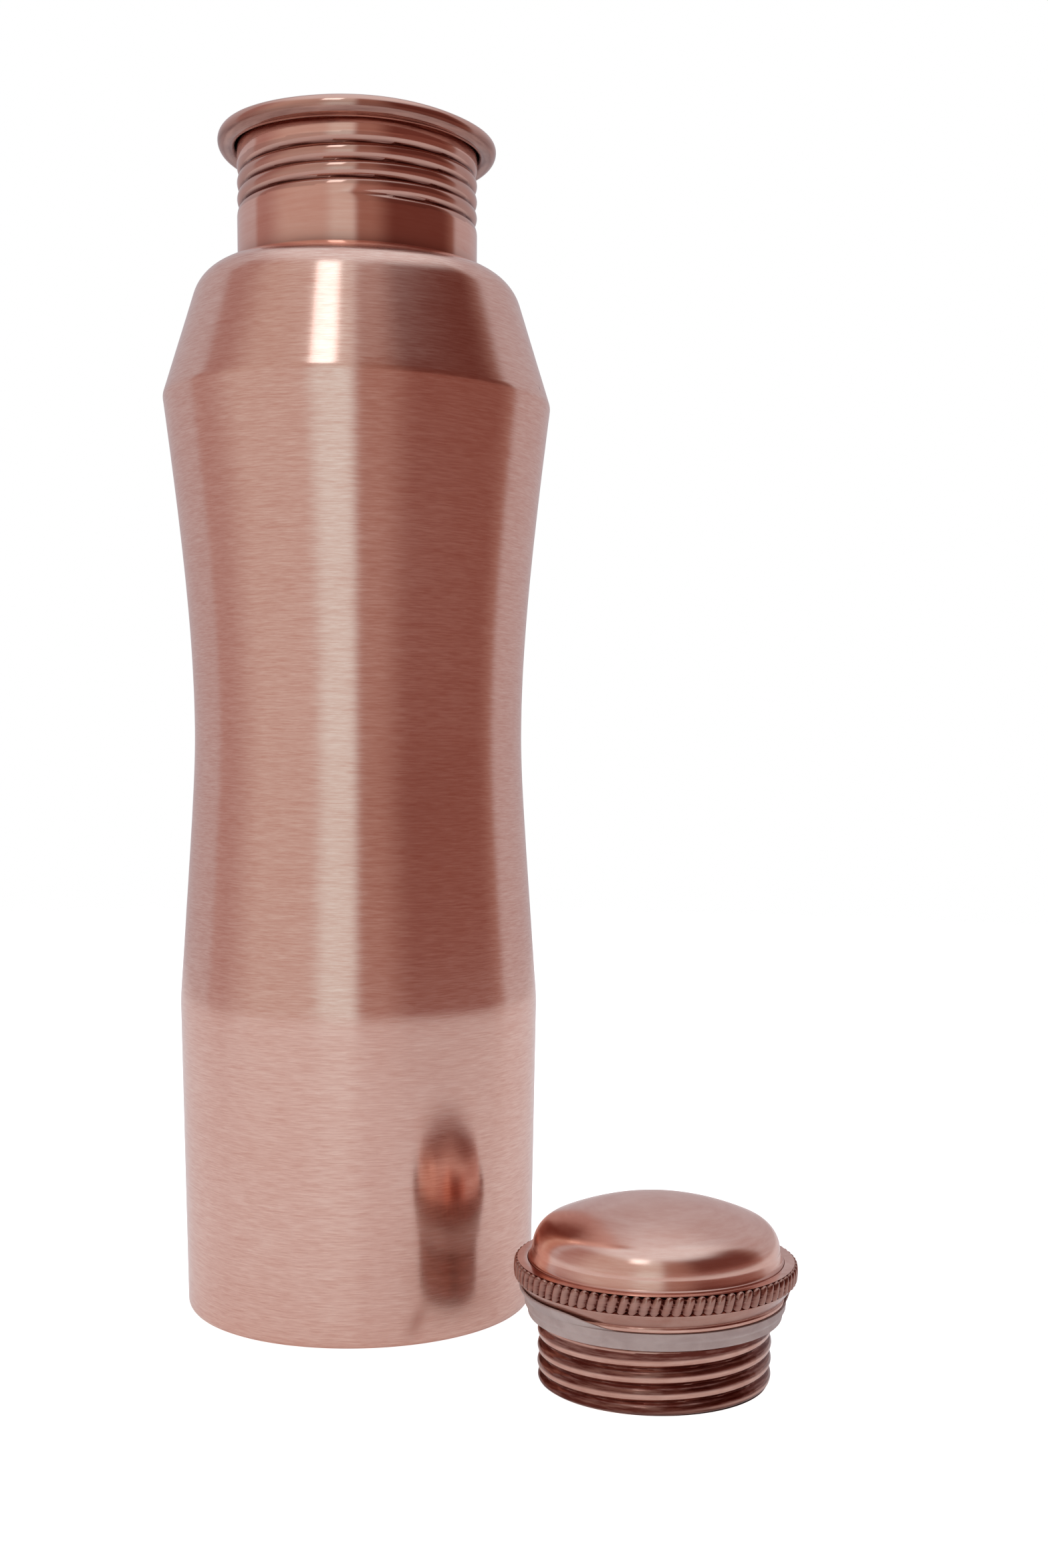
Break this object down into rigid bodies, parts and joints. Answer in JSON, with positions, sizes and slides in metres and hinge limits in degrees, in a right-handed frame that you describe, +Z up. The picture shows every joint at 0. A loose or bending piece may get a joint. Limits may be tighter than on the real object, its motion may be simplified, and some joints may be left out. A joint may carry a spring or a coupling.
{
  "type": "copper water bottle",
  "caption": "Waisted copper water bottle with a rolled screw neck, standing open beside its domed screw cap with a silicone gasket.",
  "frame": {"origin": "on the bottle's axis, on the surface that the bottle stands on", "axes": "+Z up along the bottle's axis; the cap stands towards +X and -Y"},
  "size_m": [0.1305, 0.1174, 0.2445],
  "materials": {
    "satin_copper": "satin, fine lathe brushing",
    "polished_copper": "polished",
    "turned_copper": "turned, slightly darkened",
    "silicone": "matte, slightly translucent"
  },
  "bodies": {
    "bottle": {"body_shell": "satin_copper", "base_plate": "satin_copper", "neck": "polished_copper"},
    "gasket": {"gasket": "silicone"},
    "cap": {"cap_plug": "turned_copper", "cap_flange": "turned_copper", "cap_dome": "polished_copper"}
  },
  "joints": [
    {"name": "cap_lift", "type": "slide", "parent": "bottle", "child": "gasket", "axis": [0, 0, 1], "range_m": [0, 0.25]},
    {"name": "cap_turn", "type": "hinge", "parent": "gasket", "child": "cap", "pos_m": [0.06301, -0.04994, 0], "axis": [0, 0, 1], "continuous": true}
  ]
}
